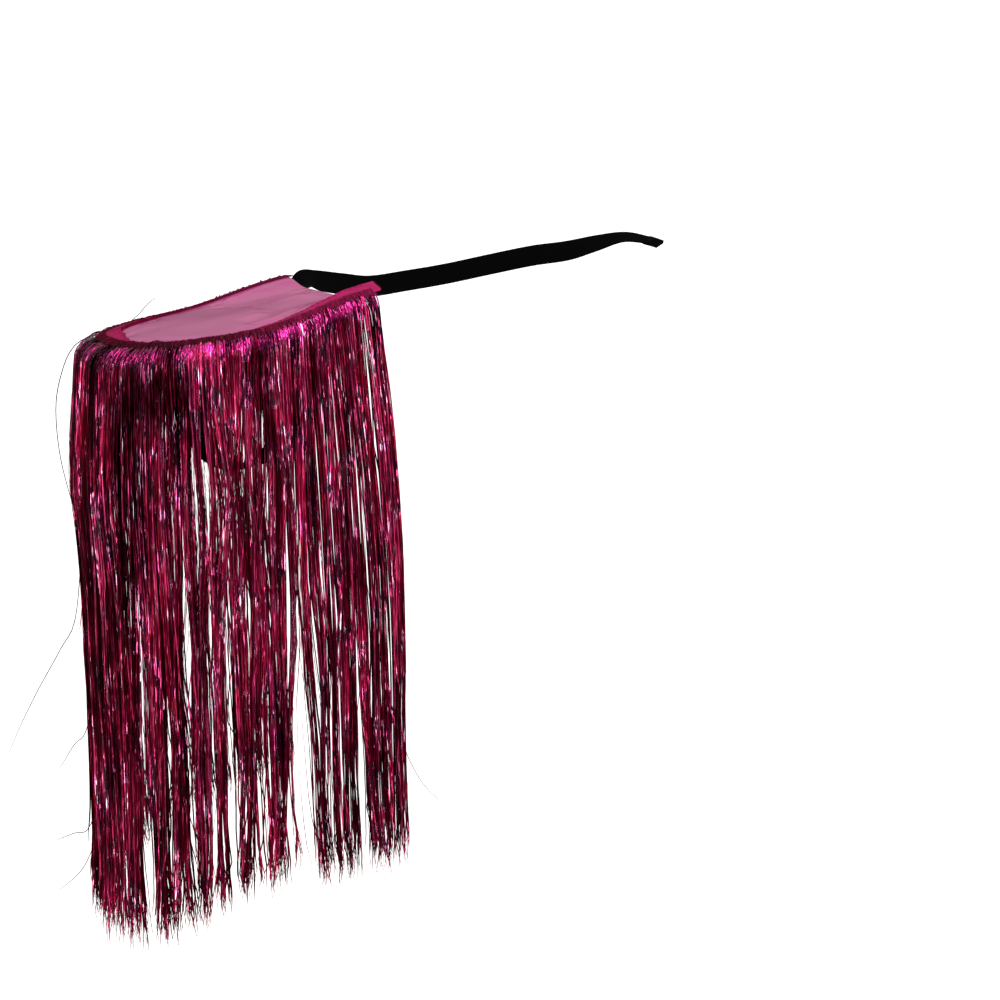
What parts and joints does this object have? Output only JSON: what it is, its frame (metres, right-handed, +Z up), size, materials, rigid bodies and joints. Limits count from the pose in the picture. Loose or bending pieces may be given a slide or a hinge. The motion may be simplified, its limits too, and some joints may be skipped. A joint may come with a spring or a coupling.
{
  "type": "costume shoulder pad",
  "caption": "D-shaped glossy shoulder pad with a long metallic tinsel fringe round its curved edge, an elastic arm loop and an elastic neck strap.",
  "frame": {"origin": "middle of the pad's underside, where it sits on the shoulder", "axes": "+X from the outer end towards the neck, -Y to the wearer's front, +Z up"},
  "size_m": [0.4624, 0.2333, 0.4073],
  "materials": {
    "glossy_vinyl": "glossy vinyl face over thin foam",
    "woven_tape": "woven satin tape",
    "tinsel_foil": "metallised foil strands",
    "black_elastic": "woven elastic"
  },
  "bodies": {
    "root": {"pad": "glossy_vinyl", "edge_tape": "woven_tape", "fringe": "tinsel_foil", "neck_strap": "black_elastic", "arm_loop": "black_elastic"}
  },
  "joints": []
}
